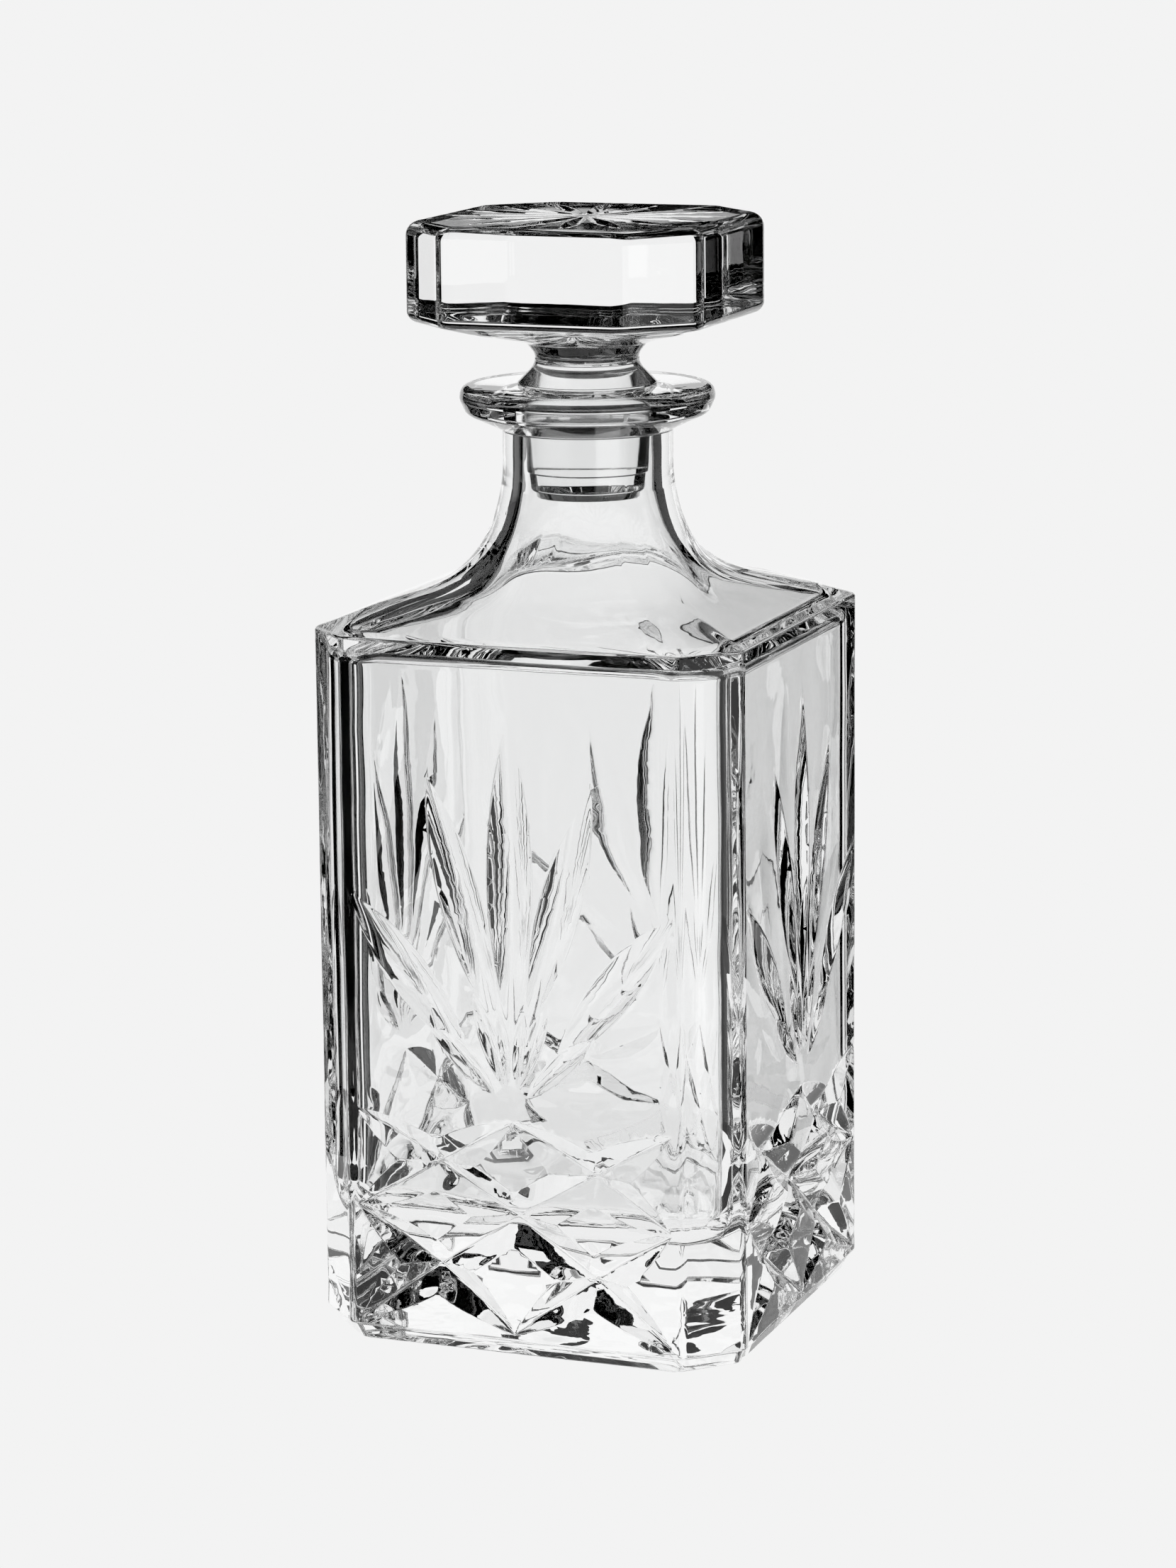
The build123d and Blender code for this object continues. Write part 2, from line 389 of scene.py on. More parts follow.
# Pressed glass is never dead flat: a slow ripple, always inwards, scaled by each point's own "ripple".
def rippleTree(name, glass):
    tree, source, sink = newTree(name, [
        ("Ripple", "NodeSocketFloat", 1.0),
        ("Ripple scale", "NodeSocketFloat", 40.0),
        ("Fine share", "NodeSocketFloat", 0.3),
        ("Fine scale", "NodeSocketFloat", 110.0),
        ("Seed", "NodeSocketFloat", 1.0),
    ])
    new, link = tree.nodes.new, tree.links.new
    merge = new("GeometryNodeMergeByDistance")
    merge.inputs["Distance"].default_value = 0.00001
    link(source.outputs["Geometry"], merge.inputs["Geometry"])
    share = new("GeometryNodeInputNamedAttribute")
    share.data_type = "FLOAT"
    share.inputs["Name"].default_value = "ripple"
    waves = []
    for scale in ("Ripple scale", "Fine scale"):
        noise = new("ShaderNodeTexNoise")
        noise.noise_dimensions = "4D"
        noise.inputs["Detail"].default_value = 0.5
        link(source.outputs["Seed"], noise.inputs["W"])
        link(source.outputs[scale], noise.inputs["Scale"])
        spread = new("ShaderNodeMapRange")
        spread.inputs["From Min"].default_value = 0.3
        spread.inputs["From Max"].default_value = 0.7
        link(noise.outputs[0], spread.inputs["Value"])
        waves.append(spread.outputs[0])
    fine = mathNode(tree, "MULTIPLY", waves[1], source.outputs["Fine share"])
    amount = mathNode(tree, "MULTIPLY", share.outputs["Attribute"], source.outputs["Ripple"])
    amount = mathNode(tree, "MULTIPLY", amount, mathNode(tree, "ADD", waves[0], fine))
    normal = new("GeometryNodeInputNormal")
    offset = new("ShaderNodeVectorMath")
    offset.operation = "SCALE"
    link(normal.outputs[0], offset.inputs[0])
    link(mathNode(tree, "MULTIPLY", amount, -1.0), offset.inputs["Scale"])
    move = new("GeometryNodeSetPosition")
    link(merge.outputs[0], move.inputs["Geometry"])
    link(offset.outputs[0], move.inputs["Offset"])
    real = new("GeometryNodeRealizeInstances")
    link(move.outputs[0], real.inputs[0])
    paint = new("GeometryNodeSetMaterial")
    paint.inputs["Material"].default_value = glass
    link(real.outputs[0], paint.inputs["Geometry"])
    link(paint.outputs[0], sink.inputs[0])
    return tree


def joinPieces(keep, others):
    bpy.ops.object.select_all(action="DESELECT")
    for piece in others:
        piece.select_set(True)
    keep.select_set(True)
    bpy.context.view_layer.objects.active = keep
    bpy.ops.object.join()


def finishPiece(piece, body, node):
    weighted = piece.modifiers.new("weightedNormals", "WEIGHTED_NORMAL")
    weighted.weight = 90     # large faces lead, so flats stay flat beside their rounded edges
    weighted.keep_sharp = True
    result = bpy.data.meshes.new_from_object(
        piece.evaluated_get(bpy.context.evaluated_depsgraph_get()))
    piece.modifiers.remove(weighted)
    piece.data = result
    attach(piece, body)
    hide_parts(node)


crystalLook = {
    "ior": 1.53,
    "tint": (0.985, 0.988, 0.988, 1.0),
    "waveScale": 160.0,      # fine waviness left by fire polishing, per metre
    "waveStrength": 0.02,
    "groundScale": 5200.0,   # grain of the ground band
    "groundRoughness": 0.10,
}


def crystalGlass(name, groundLow=None, groundHigh=None):
    glass = bpy.data.materials.new(name)
    glass.use_nodes = True
    nodes, links = glass.node_tree.nodes, glass.node_tree.links
    nodes.clear()
    output = nodes.new("ShaderNodeOutputMaterial")
    shader = nodes.new("ShaderNodeBsdfPrincipled")
    shader.inputs["Base Color"].default_value = crystalLook["tint"]
    shader.inputs["IOR"].default_value = crystalLook["ior"]
    shader.inputs["Transmission Weight"].default_value = 1.0
    shader.inputs["Roughness"].default_value = 0.0
    links.new(shader.outputs[0], output.inputs["Surface"])
    place = nodes.new("ShaderNodeTexCoord")
    wave = nodes.new("ShaderNodeTexNoise")
    wave.inputs["Scale"].default_value = crystalLook["waveScale"]
    wave.inputs["Detail"].default_value = 1.5
    links.new(place.outputs["Object"], wave.inputs["Vector"])
    bump = nodes.new("ShaderNodeBump")
    bump.inputs["Strength"].default_value = crystalLook["waveStrength"]
    bump.inputs["Distance"].default_value = 0.001
    links.new(wave.outputs[0], bump.inputs["Height"])
    links.new(bump.outputs[0], shader.inputs["Normal"])
    if groundLow is not None:
        addGroundBand(nodes, links, place, shader, groundLow, groundHigh)
    return glass


# The ground band on the plug: fine grain between two heights.
def addGroundBand(nodes, links, place, shader, low, high):
    split = nodes.new("ShaderNodeSeparateXYZ")
    links.new(place.outputs["Object"], split.inputs[0])
    grain = nodes.new("ShaderNodeTexNoise")
    grain.inputs["Scale"].default_value = crystalLook["groundScale"]
    grain.inputs["Detail"].default_value = 2.0
    links.new(place.outputs["Object"], grain.inputs["Vector"])
    band = nodes.new("ShaderNodeMath")
    band.operation = "COMPARE"
    band.inputs[1].default_value = (low + high) / 2 * mm
    band.inputs[2].default_value = (high - low) / 2 * mm
    links.new(split.outputs["Z"], band.inputs[0])
    rough = nodes.new("ShaderNodeMapRange")
    rough.inputs["To Min"].default_value = crystalLook["groundRoughness"] * 0.5
    rough.inputs["To Max"].default_value = crystalLook["groundRoughness"] * 1.5
    links.new(grain.outputs[0], rough.inputs["Value"])
    masked = nodes.new("ShaderNodeMath")
    masked.operation = "MULTIPLY"
    links.new(band.outputs[0], masked.inputs[0])
    links.new(rough.outputs[0], masked.inputs[1])
    links.new(masked.outputs[0], shader.inputs["Roughness"])


bottleLook = {
    "cornerShare": 10.0 / 46.0,
    "edgeRadius": 3.2,
    "edgeSoftness": 0.3,        # fire-polished edges of the cuts
    "flatSteps": 24, "roundSteps": 6, "cornerSteps": 8,
    "panelLow": 4.7, "panelHigh": 144.4, "panelRows": 46, "cutSpacing": 1.1,
    "neckRadius": 17.5,
    "shoulderEdge": 0.9, "shoulderSpacing": 1.6,
    "slope": 0.384,             # rise of the shoulder for each step outwards
    "slopeFrom": (40.4, 148.5),
    "sweepAcross": 17.5, "sweepUp": 27.0, "sweepSteps": 22,    # the elliptical sweep into the neck
    "squareUntil": 36.0, "roundFrom": 18.5,    # the section turns round between these reaches
    "boreRadius": 13.0, "boreLow": 13.5, "boreBottom": 172.0,
    "chamberHalf": 39.4, "chamberCorner": 9.5,
    # the turn from inner shoulder to chamber wall: radius, room kept for it, and its wall's length
    "innerTurn": 3.0, "innerTurnRoom": 7.0, "innerTurnDrop": 12.0,
    "innerRoundUntil": 15.0,    # the inner shoulder is round up to this reach
    "floorHeight": 24.0, "floorRound": 9.0, "floorDish": 0.5,
    "cornerDraw": 0.4,          # how much the chamber's corner radius shrinks over the floor's turn
    "chamberRows": 34, "floorTurnRows": 12, "floorRings": 9,
    "outerRipple": 0.12, "rippleScale": 42.0, "fineShare": 0.25, "fineScale": 110.0, "seed": 3.0,
    # ripple of each stretch, times outerRipple; the underside and the chamber's floor are marbled
    "baseRipple": 6.0, "footRipple": 0.2, "bodyRipple": 1.0, "lipRipple": 0.15,
    "innerRipple": 2.0, "wallRipple": 3.0, "floorRipple": 9.0,
    "baseUntil": 36.0,          # the underside is marbled inside this reach
}

latticeLook = {
    "rows": [5.2, 17.6, 29.2, 39.1, 49.4],      # heights of the crossings, from the bottom tips up
    "outerColumn": 2,           # crossings to each side of the middle
    "pitch": 16.9,
    "halfWidth": 4.6, "depth": 3.0,
}

fanLook = {
    # the right-hand cuts and the middle one: foot, tip, half width, depth
    "cuts": [
        ((0.0, 66.0), (0.0, 133.0), 4.7, 2.6),
        ((3.5, 69.0), (17.5, 119.0), 4.3, 2.4),
        ((9.5, 62.5), (34.2, 94.0), 4.3, 2.4),
        ((3.2, 54.5), (18.5, 70.0), 2.1, 1.3),
        ((1.6, 56.5), (8.0, 75.0), 1.7, 1.1),
        ((0.9, 57.0), (2.6, 72.0), 1.2, 0.8),
    ],
}


def faceCuts():
    rows, pitch, wide, deep = (latticeLook[k] for k in ("rows", "pitch", "halfWidth", "depth"))
    outer = latticeLook["outerColumn"]
    cuts = []
    for row in range(len(rows) - 1):
        for column in range(-outer, outer + 1):
            if (row + column) % 2:
                continue
            for step in (-1, 1):
                if abs(column + step) > outer:
                    continue
                ends = ((column, row), (column + step, row + 1))
                closed = [abs(c) == outer or r in (0, len(rows) - 1) for c, r in ends]
                cuts.append(cut((column * pitch, rows[row]),
                                ((column + step) * pitch, rows[row + 1]), wide, deep,
                                openStart=not closed[0], openEnd=not closed[1]))
    for foot, tip, wide, deep in fanLook["cuts"]:
        for side in ((1, -1) if tip[0] > 0.0 else (1,)):
            cuts.append(cut((foot[0] * side, foot[1]), (tip[0] * side, tip[1]), wide, deep,
                            flute=True))
    return cuts


def shoulderRoundness(half):
    span = bottleLook["squareUntil"] - bottleLook["roundFrom"]
    return smoothStep((bottleLook["squareUntil"] - half) / span)


def shoulderSweep():
    # the elliptical stretch from the sloped shoulder up to the upright neck
    across, up, slope = bottleLook["sweepAcross"], bottleLook["sweepUp"], bottleLook["slope"]
    endAngle = atan2(up, across * slope)
    endReach = bottleLook["neckRadius"] + across * (1 - cos(endAngle))
    fromReach, fromHeight = bottleLook["slopeFrom"]
    endHeight = fromHeight + (fromReach - endReach) * slope
    neckHeight = endHeight + up * sin(endAngle)
    steps = bottleLook["sweepSteps"]
    points = []
    for step in range(steps + 1):
        angle = endAngle * (1 - step / steps)
        points.append((bottleLook["neckRadius"] + across * (1 - cos(angle)),
                       neckHeight - up * sin(angle)))
    return points


def bottleRows():
    # from the underside up the outside, over the lip and down the inside to the chamber's floor
    # a row is its ring of points, its ripple share, and whether the cut faces interrupt it
    section = bevelledSection(bottleLook["cornerShare"], bottleLook["edgeRadius"] / bodyHalf,
                              bottleLook["flatSteps"], bottleLook["roundSteps"],
                              bottleLook["cornerSteps"])
    rows = []
    fromReach, fromHeight = bottleLook["slopeFrom"]
    slopeStart = fromHeight + (fromReach - bodyHalf) * bottleLook["slope"]
    sweep = shoulderSweep()
    low, high = bottleLook["panelLow"], bottleLook["panelHigh"]
    foot = filletedOutline([
        (2.0, 0.6, 0.0, 9), (34.0, 0.5, 4.0, 9), (37.5, 0.0, 2.0, 9), (43.7, 0.0, 0.5, 15),
        (45.0, 3.2, 0.25, 30), (bodyHalf, 3.6, 0.6, 15), (bodyHalf, low, 0.0, 9)], 4.0)
    for reach, height in foot:
        share = bottleLook["baseRipple" if reach < bottleLook["baseUntil"] else "footRipple"]
        rows.append((bevelledRing(section, reach, 0.0, height), share, False))
    count = bottleLook["panelRows"]
    for step in range(1, count):
        height = low + (high - low) * step / count
        rows.append((bevelledRing(section, bodyHalf, 0.0, height), bottleLook["bodyRipple"], True))
    shoulder = filletedOutline([
        (bodyHalf, high, 0.0, 9), (bodyHalf, slopeStart, bottleLook["shoulderEdge"], 7),
        (*sweep[0], 0.0, 9)], bottleLook["shoulderSpacing"])
    for reach, height in shoulder + [Vector(p) for p in sweep[1:]]:
        rows.append((bevelledRing(section, reach, shoulderRoundness(reach), height),
                     bottleLook["bodyRipple"], False))
    neck = bottleLook["neckRadius"]
    bore, boreLow, boreBottom = (bottleLook[k] for k in ("boreRadius", "boreLow", "boreBottom"))
    lip = filletedOutline([
        (neck, sweep[-1][1] + 1.0, 0.0, 9), (neck, 184.0, 0.5, 12), (24.9, 187.4, 2.5, 10),
        (26.25, 190.5, 2.2, 10), (25.6, lipTop, 1.7, 10), (bore, lipTop, 0.5, 15),
        (boreLow, boreBottom, 0.0, 3)], 3.0)
    for reach, height in lip:
        rows.append((bevelledRing(section, reach, 1.0, height), bottleLook["lipRipple"], False))
    half, corner = bottleLook["chamberHalf"], bottleLook["chamberCorner"]
    outer = shoulder[4:] + [Vector(p) for p in sweep[1:]]    # without most of the upright stretch
    inner = innerShoulder(outer, boreLow, boreBottom, half, corner)
    for reach, height, cornerRadius in inner[1:]:
        rows.append((softSquareRing(section, reach, cornerRadius, height),
                     bottleLook["innerRipple"], False))
    top = inner[-1][1]
    floorRound, cornerDraw = bottleLook["floorRound"], bottleLook["cornerDraw"]
    bottom = bottleLook["floorHeight"] + floorRound
    steps = bottleLook["chamberRows"]
    for step in range(1, steps + 1):
        height = top + (bottom - top) * step / steps
        rows.append((softSquareRing(section, half, corner, height), bottleLook["wallRipple"], False))
    steps = bottleLook["floorTurnRows"]
    for step in range(1, steps + 1):
        turn = pi / 2 * step / steps
        inset = floorRound * (1 - cos(turn))
        height = bottom - floorRound * sin(turn)
        rows.append((softSquareRing(section, half - inset, corner - inset * cornerDraw, height),
                     bottleLook["floorRipple"], False))
    reach = half - floorRound
    corner -= floorRound * cornerDraw
    steps = bottleLook["floorRings"]
    for step in range(1, steps):
        share = 1 - step / steps
        height = bottleLook["floorHeight"] + bottleLook["floorDish"] * (1 - share)
        rows.append((softSquareRing(section, reach * share, corner * share, height),
                     bottleLook["floorRipple"], False))
    return section, rows


def innerShoulder(outer, startReach, startHeight, half, corner):
    # follows the outside at an even wall, from the bore to the chamber walls
    topReach = min(outer, key=lambda p: abs(p.y - startHeight)).x
    wallTop, wallBody = topReach - startReach, bodyHalf - half
    path = []
    for before, here, after in zip(outer, outer[1:], outer[2:]):
        along = (after - before).normalized()
        height = (here.y - outer[0].y) / (outer[-1].y - outer[0].y)
        wall = wallBody + (wallTop - wallBody) * smoothStep(height * 2.0)    # changed over by halfway
        spot = here + Vector((-along.y, along.x)) * wall
        if startReach < spot.x < half - bottleLook["innerTurnRoom"] and spot.y < startHeight:
            path.append(spot)
    path.reverse()
    lowest = path[-1]
    slope = (path[-1] - path[-2]).normalized()
    wallSpot = lowest + slope * ((half - lowest.x) / slope.x)
    turned = filletedOutline([(*path[-2], 0.0, 9), (*wallSpot, bottleLook["innerTurn"], 6),
                              (half, wallSpot.y - bottleLook["innerTurnDrop"], 0.0, 9)],
                             bottleLook["shoulderSpacing"])
    path = [Vector((startReach, startHeight))] + path[:-2] + turned
    roundUntil = bottleLook["innerRoundUntil"]
    rows = []
    for spot in path:
        roundness = 1 - smoothStep((spot.x - roundUntil) / (half - roundUntil))
        rounded = corner + (spot.x - corner) * roundness if spot.x > corner else spot.x
        rows.append((spot.x, spot.y, rounded))
    return rows


def buildBottle(glass):
    section, rows = bottleRows()
    count = len(section)
    quarter = count // 4
    flat = bottleLook["flatSteps"]
    vertices, ripple, faces, ids = [], [], [], []
    for ring, share, cutZone in rows:
        line = []
        for index, point in enumerate(ring):
            if cutZone and 0 < index % quarter < flat:
                line.append(None)
                continue
            line.append(len(vertices))
            vertices.append(point)
            ripple.append(share)
        ids.append(line)
    for row, (lower, upper) in enumerate(zip(ids, ids[1:])):
        inPanel = rows[row][2] or rows[row + 1][2]
        for index in range(count):
            following = (index + 1) % count
            if inPanel and index % quarter < flat:
                continue
            faces.append((lower[index], lower[following], upper[following], upper[index]))
    for end in (0, -1):      # closes the underside and the chamber's floor at their middles
        line, (ring, share, _) = ids[end], rows[end]
        pole = len(vertices)
        vertices.append(Vector((0.0, 0.0, ring[0].z)))
        ripple.append(share)
        for index in range(count):
            following = (index + 1) % count
            if end == 0:
                faces.append((pole, line[following], line[index]))
            else:
                faces.append((pole, line[index], line[following]))
    shell = meshObject("bottleShell", vertices, faces, {
        "ripple": [value * bottleLook["outerRipple"] * mm for value in ripple]})
    panel = buildPanel(section, glass)
    joinPieces(shell, [panel])
    tree = rippleTree("handMadeRipple", glass)
    applyTree(shell, tree, {
        "Ripple scale": bottleLook["rippleScale"], "Fine share": bottleLook["fineShare"],
        "Fine scale": bottleLook["fineScale"], "Seed": bottleLook["seed"]})
    return shell


def buildPanel(section, glass):
    # one cut face, then its three copies at quarter turns
    flat = bottleLook["flatSteps"]
    low, high = bottleLook["panelLow"], bottleLook["panelHigh"]
    count = bottleLook["panelRows"]
    across = [section[i][0] * bodyHalf for i in range(flat + 1)]
    heights = [low + (high - low) * step / count for step in range(count + 1)]
    boundary = [Vector((x, low)) for x in across]
    boundary += [Vector((across[-1], z)) for z in heights[1:]]
    boundary += [Vector((x, high)) for x in reversed(across[:-1])]
    boundary += [Vector((across[0], z)) for z in reversed(heights[1:-1])]
    cuts = faceCuts()
    soft = bottleLook["edgeSoftness"]
    spots, faces = cutPanel(cuts, boundary, bottleLook["cutSpacing"], soft, soft)
    vertices = [Vector((p.x, -bodyHalf, p.y)) for p in spots]
    raw = [faceDepth(cuts, p, soft, soft) * mm for p in spots]
    edge = [min(p.x - across[0], across[-1] - p.x, p.y - low, high - p.y) for p in spots]
    # the panel's own outline stays flat, so that it meets the shell round it
    raw = [value if distance > 0.05 else -1.0 for value, distance in zip(raw, edge)]
    ripple = bottleLook["outerRipple"] * bottleLook["bodyRipple"] * mm
    panel = meshObject("cutPanel", vertices, faces, {
        "rawDepth": raw, "ripple": [ripple] * len(vertices)})
    tree = cutAndRepeatTree("faceCuts", glass)
    applyTree(panel, tree, {"Rim softness": soft * 0.4 * mm, "Copies": 4})
    print("cut panel:", len(cuts), "cuts,", len(faces), "triangles")
    return panel


stopperLook = {
    "cornerShare": 12.5 / 31.9,
    "edgeRadius": 5.0,
    "flatSteps": 20, "roundSteps": 5, "cornerSteps": 8,
    "headBottom": 207.1,
    "rimRadius": 3.0,
    "starRays": 16, "starInner": 2.2, "starOuter": 28.6,
    "starHalfWidth": 1.7, "starDepth": 1.3,
    "starSoftness": 0.2, "starSpacing": 0.9,
    "bowlRim": (24.0, 204.8),   # where the flat underside of the head turns into the bowl
    "seatRadius": 14.2, "seatGap": 0.06,        # the seat stands this far over the lip
    "groundBottom": 175.6,
    "ripple": 0.03, "rippleScale": 55.0, "seed": 8.0,
    "stemRipple": 0.5, "plugRipple": 0.1,       # shares of the ripple, outside and inside plugReach
    "plugReach": 12.6,
    "headSpacing": 2.2, "stemSpacing": 1.6,     # longest run between rows
    "squareUntil": 27.0, "roundOver": 13.0,     # the bowl turns round over this much reach
}


def stopperRows(section):
    rows = []
    top = filletedOutline([
        (headHalf - 3.6, headTop, 0.0, 9), (headHalf, headTop, stopperLook["rimRadius"], 9),
        (headHalf, stopperLook["headBottom"], 2.4, 9),
        (*stopperLook["bowlRim"], 0.0, 9)], stopperLook["headSpacing"])
    for reach, height in top:
        rows.append((bevelledRing(section, reach, 0.0, height), 1.0))
    seatReach, seatHeight = stopperLook["seatRadius"], lipTop + stopperLook["seatGap"]
    groundBottom = stopperLook["groundBottom"]
    stem = filletedOutline([
        (*stopperLook["bowlRim"], 0.0, 9), (12.4, 201.6, 1.2, 12), (10.6, 199.4, 2.4, 12),
        (10.6, 197.2, 3.5, 8), (seatReach, lipTop + 0.5, 0.3, 20), (seatReach, seatHeight, 0.15, 30),
        (12.92, seatHeight, 0.15, 30), (12.32, groundBottom, 0.2, 15),
        (11.9, groundBottom - 0.3, 0.2, 15), (11.6, 171.6, 0.9, 12),
        (10.0, plugBottom, 0.6, 12), (1.5, plugBottom, 0.0, 9)], stopperLook["stemSpacing"])
    for reach, height in stem[1:]:
        roundness = smoothStep((stopperLook["squareUntil"] - reach) / stopperLook["roundOver"])
        share = stopperLook["stemRipple" if reach > stopperLook["plugReach"] else "plugRipple"]
        rows.append((bevelledRing(section, reach, roundness, height), share))
    return rows


def buildStopper(glass):
    section = bevelledSection(stopperLook["cornerShare"], stopperLook["edgeRadius"] / headHalf,
                              stopperLook["flatSteps"], stopperLook["roundSteps"],
                              stopperLook["cornerSteps"])
    rows = stopperRows(section)
    count = len(section)
    vertices, ripple, faces = [], [], []
    for ring, share in rows:
        vertices += ring
        ripple += [share] * count
    for row in range(len(rows) - 1):
        for index in range(count):
            following = (index + 1) % count
            lower, upper = (row + 1) * count, row * count
            faces.append((lower + index, lower + following, upper + following, upper + index))
    pole = len(vertices)
    vertices.append(Vector((0.0, 0.0, plugBottom)))
    ripple.append(0.0)
    last = (len(rows) - 1) * count
    for index in range(count):
        faces.append((pole, last + (index + 1) % count, last + index))
    shell = meshObject("stopperShell", vertices, faces, {
        "ripple": [value * stopperLook["ripple"] * mm for value in ripple]})
    star = buildStar(rows[0][0], glass)
    joinPieces(shell, [star])
    tree = rippleTree("stopperRipple", glass)
    applyTree(shell, tree, {"Ripple scale": stopperLook["rippleScale"], "Seed": stopperLook["seed"]})
    return shell


def buildStar(ring, glass):
    # the rays of the star, cut into the head's flat top
    cuts = []
    for index in range(stopperLook["starRays"]):
        angle = 2 * pi * (index + 0.5) / stopperLook["starRays"]
        way = Vector((cos(angle), sin(angle)))
        cuts.append(cut(way * stopperLook["starInner"], way * stopperLook["starOuter"],
                        stopperLook["starHalfWidth"], stopperLook["starDepth"]))
    boundary = [Vector((p.x, p.y)) for p in ring]
    soft = stopperLook["starSoftness"]
    spots, faces = cutPanel(cuts, boundary, stopperLook["starSpacing"], soft, soft)
    vertices = [Vector((p.x, p.y, headTop)) for p in spots]
    raw = [faceDepth(cuts, p, soft, soft) * mm for p in spots]
    star = meshObject("starPanel", vertices, faces, {
        "rawDepth": raw, "ripple": [stopperLook["ripple"] * mm] * len(vertices)})
    tree = cutAndRepeatTree("starCuts", glass)
    applyTree(star, tree, {"Rim softness": soft * 0.4 * mm, "Copies": 1, "Inward": (0.0, 0.0, -1.0)})
    print("star:", len(cuts), "rays,", len(faces), "triangles")
    return star


# A pale floor and background, with bright fields round the glass and dark between them.
studioLook = {
    "floorRadius": 0.16, "floorDrop": 0.0002, "floorSides": 96,
    "pale": 0.896,
    "field": 0.97,
    "cardAzimuth": 201.0, "cardDistance": 0.45,     # the bright card that stands behind the glass
    "cardLeft": -0.27, "cardRight": 0.36, "cardBottom": -0.30, "cardTop": 0.252,
    "darkAbove": 0.06,       # sine of the elevation where the side fields end
    "brightZones": [(33, 75), (264, 276)],     # the side fields, in degrees of azimuth
}


def glow(name, level):
    material = bpy.data.materials.new(name)
    material.use_nodes = True
    nodes, links = material.node_tree.nodes, material.node_tree.links
    nodes.clear()
    output = nodes.new("ShaderNodeOutputMaterial")
    emission = nodes.new("ShaderNodeEmission")
    emission.inputs["Color"].default_value = (level, level, level, 1.0)
    links.new(emission.outputs[0], output.inputs["Surface"])
    return material


def buildCard():
    # hidden from the camera itself, so it shows only through the glass
    azimuth = radians(studioLook["cardAzimuth"])
    away = Vector((sin(azimuth), -cos(azimuth), 0.0))
    right = Vector((away.y, -away.x, 0.0))
    middle = away * studioLook["cardDistance"]
    corners = [middle + right * side + Vector((0, 0, height)) for side, height in (
        (studioLook["cardLeft"], studioLook["cardBottom"]),
        (studioLook["cardRight"], studioLook["cardBottom"]),
        (studioLook["cardRight"], studioLook["cardTop"]),
        (studioLook["cardLeft"], studioLook["cardTop"]))]
    mesh = bpy.data.meshes.new("brightCard")
    mesh.from_pydata(corners, [], [(0, 1, 2, 3)])
    mesh.materials.append(glow("cardLight", studioLook["field"]))
    card = bpy.data.objects.new("brightCard", mesh)
    scene.collection.objects.link(card)
    card.visible_camera = False


def buildFloor():
    mesh = bpy.data.meshes.new("floor")
    radius, steps = studioLook["floorRadius"], studioLook["floorSides"]
    ring = [(radius * cos(2 * pi * i / steps), radius * sin(2 * pi * i / steps),
             -studioLook["floorDrop"]) for i in range(steps)]
    mesh.from_pydata(ring, [], [tuple(range(steps))])
    floor = bpy.data.objects.new("floor", mesh)
    scene.collection.objects.link(floor)
    mesh.materials.append(glow("paleFloor", studioLook["pale"]))


def buildWorld():
    world = bpy.data.worlds.new("studio")
    scene.world = world
    world.use_nodes = True
    nodes, links = world.node_tree.nodes, world.node_tree.links
    nodes.clear()
    output = nodes.new("ShaderNodeOutputWorld")
    place = nodes.new("ShaderNodeTexCoord")
    split = nodes.new("ShaderNodeSeparateXYZ")
    links.new(place.outputs["Generated"], split.inputs[0])
    tree = world.node_tree
    # azimuth 0 looks back along -Y and grows towards +X, as a share of a turn
    behind = mathNode(tree, "MULTIPLY", split.outputs["Y"], -1.0)
    azimuth = mathNode(tree, "ARCTAN2", split.outputs["X"], behind)
    azimuth = mathNode(tree, "FRACT", mathNode(tree, "ADD",
                       mathNode(tree, "DIVIDE", azimuth, 2 * pi), 1.0))
    zones = nodes.new("ShaderNodeValToRGB")
    links.new(azimuth, zones.inputs[0])
    studioZones(zones.color_ramp)
    ceiling = nodes.new("ShaderNodeMapRange")
    ceiling.inputs["From Min"].default_value = studioLook["darkAbove"] - 0.02
    ceiling.inputs["From Max"].default_value = studioLook["darkAbove"] + 0.02
    ceiling.inputs["To Min"].default_value = 1.0
    ceiling.inputs["To Max"].default_value = 0.0
    links.new(split.outputs["Z"], ceiling.inputs["Value"])
    level = mathNode(tree, "MULTIPLY", zones.outputs[0], ceiling.outputs[0])
    level = mathNode(tree, "MULTIPLY", level, studioLook["field"])
    field = nodes.new("ShaderNodeBackground")
    links.new(level, field.inputs["Color"])
    pale = nodes.new("ShaderNodeBackground")
    pale.inputs["Color"].default_value = (studioLook["pale"],) * 3 + (1.0,)
    path = nodes.new("ShaderNodeLightPath")
    mix = nodes.new("ShaderNodeMixShader")
    links.new(path.outputs["Is Camera Ray"], mix.inputs[0])
    links.new(field.outputs[0], mix.inputs[1])
    links.new(pale.outputs[0], mix.inputs[2])
    links.new(mix.outputs[0], output.inputs["Surface"])


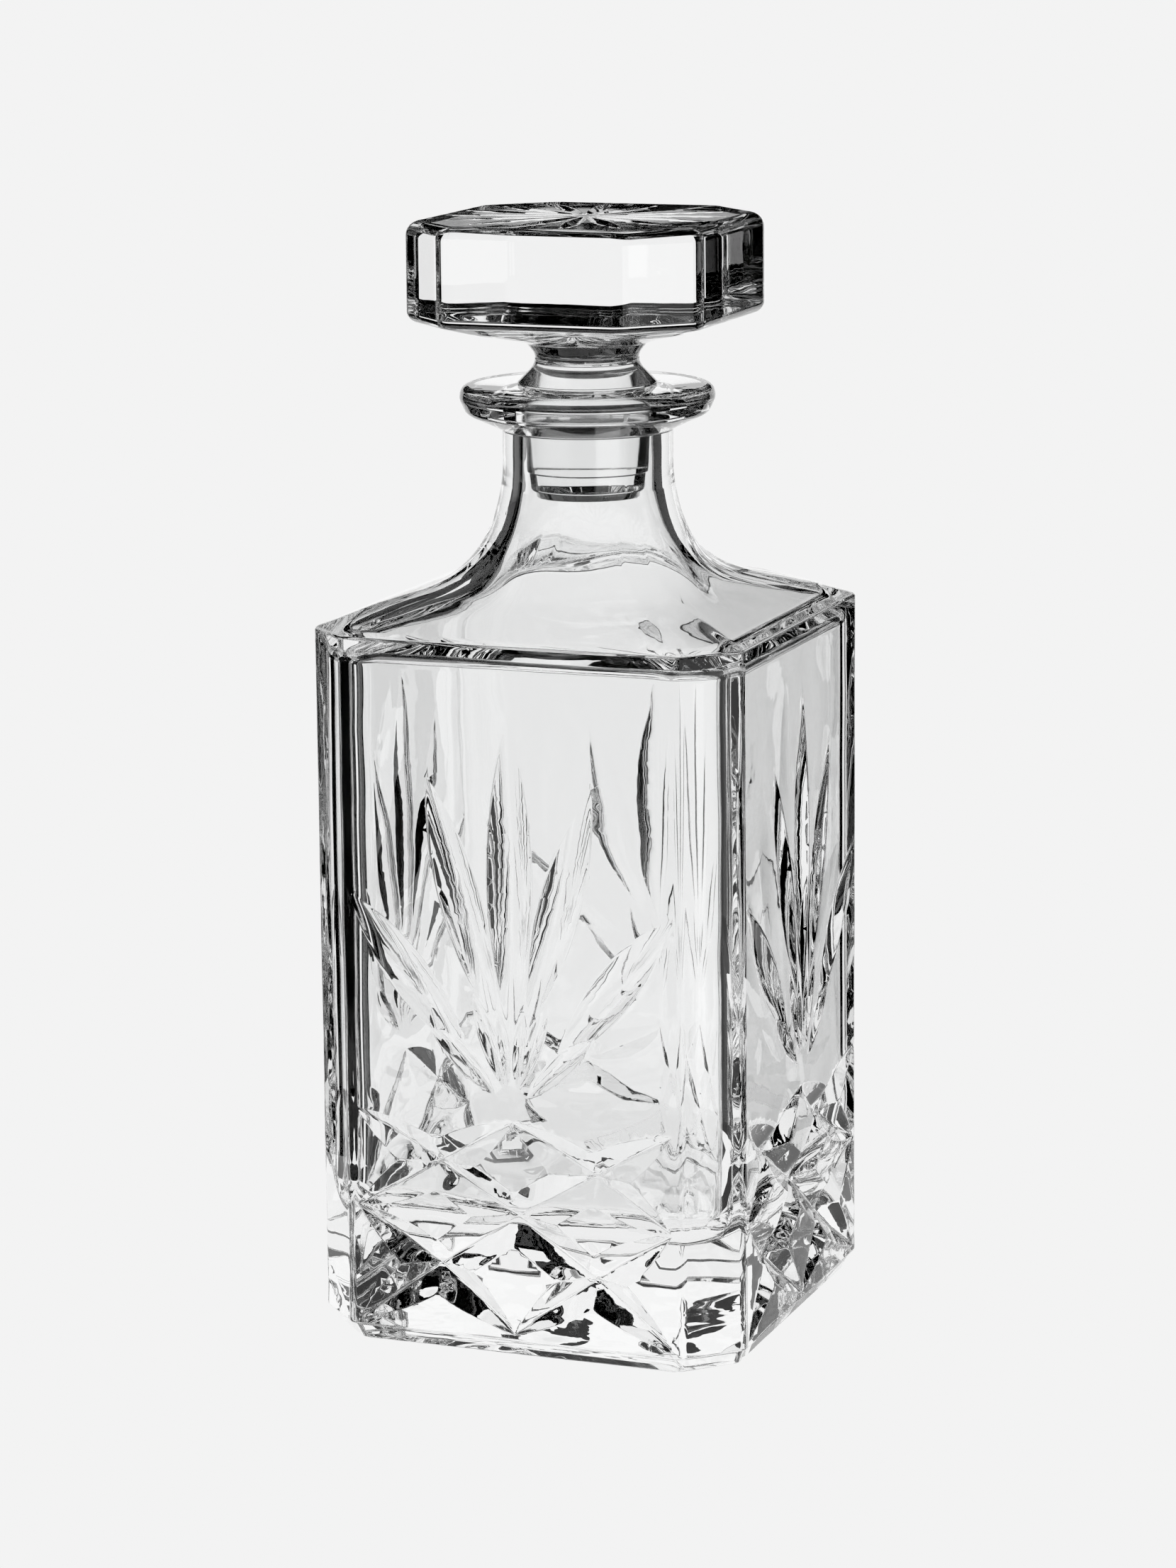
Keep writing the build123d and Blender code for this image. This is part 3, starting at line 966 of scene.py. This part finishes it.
def studioZones(ramp):
    # dark all round, but for the bright zones with their soft edges
    stops = [(0, 0)]
    for start, end in studioLook["brightZones"]:
        stops += [(start - 2, 0), (start + 2, 1), (end - 2, 1), (end + 2, 0)]
    stops.append((360, 0))
    while len(ramp.elements) > 1:
        ramp.elements.remove(ramp.elements[0])
    ramp.elements[0].position = 0.0
    ramp.elements[0].color = (0, 0, 0, 1)
    for degreesAt, level in stops[1:]:
        stop = ramp.elements.new(degreesAt / 360)
        stop.color = (level, level, level, 1)


cameraLook = {
    "azimuth": 21.02, "elevation": 10.91, "roll": -0.54,
    "distance": 0.9883, "aimHeight": 0.127,
    "lens": 110.0,
    "shiftX": -0.0015, "shiftY": -0.0525,
}


def buildCamera():
    data = bpy.data.cameras.new("camera")
    camera = bpy.data.objects.new("camera", data)
    scene.collection.objects.link(camera)
    azimuth, elevation = radians(cameraLook["azimuth"]), radians(cameraLook["elevation"])
    back = Vector((sin(azimuth) * cos(elevation), -cos(azimuth) * cos(elevation), sin(elevation)))
    camera.location = Vector((0, 0, cameraLook["aimHeight"])) + back * cameraLook["distance"]
    turn = (-back).to_track_quat("-Z", "Y")
    camera.rotation_mode = "QUATERNION"
    camera.rotation_quaternion = turn @ Quaternion((0, 0, 1), radians(cameraLook["roll"]))
    data.sensor_width = 36.0
    data.lens = cameraLook["lens"]
    data.shift_x, data.shift_y = cameraLook["shiftX"], cameraLook["shiftY"]
    data.clip_start, data.clip_end = 0.01, 20.0
    scene.camera = camera


buildCamera()
buildFloor()
buildCard()
buildWorld()
scene.view_settings.view_transform = "Standard"
scene.cycles.max_bounces = 40
scene.cycles.transmission_bounces = 40
scene.cycles.glossy_bounces = 12
print("studio ready")

bottleGlass = crystalGlass("bottleCrystal")
stopperGlass = crystalGlass("stopperCrystal", stopperLook["groundBottom"], lipTop)
bottle = buildBottle(bottleGlass)
bottle.name = "crystalBottle"
finishPiece(bottle, "bottle", "bottle")
print("bottle:", len(bottle.data.polygons), "faces")
stopper = buildStopper(stopperGlass)
stopper.name = "crystalStopper"
finishPiece(stopper, "stopper", "stopper")
print("stopper:", len(stopper.data.polygons), "faces")
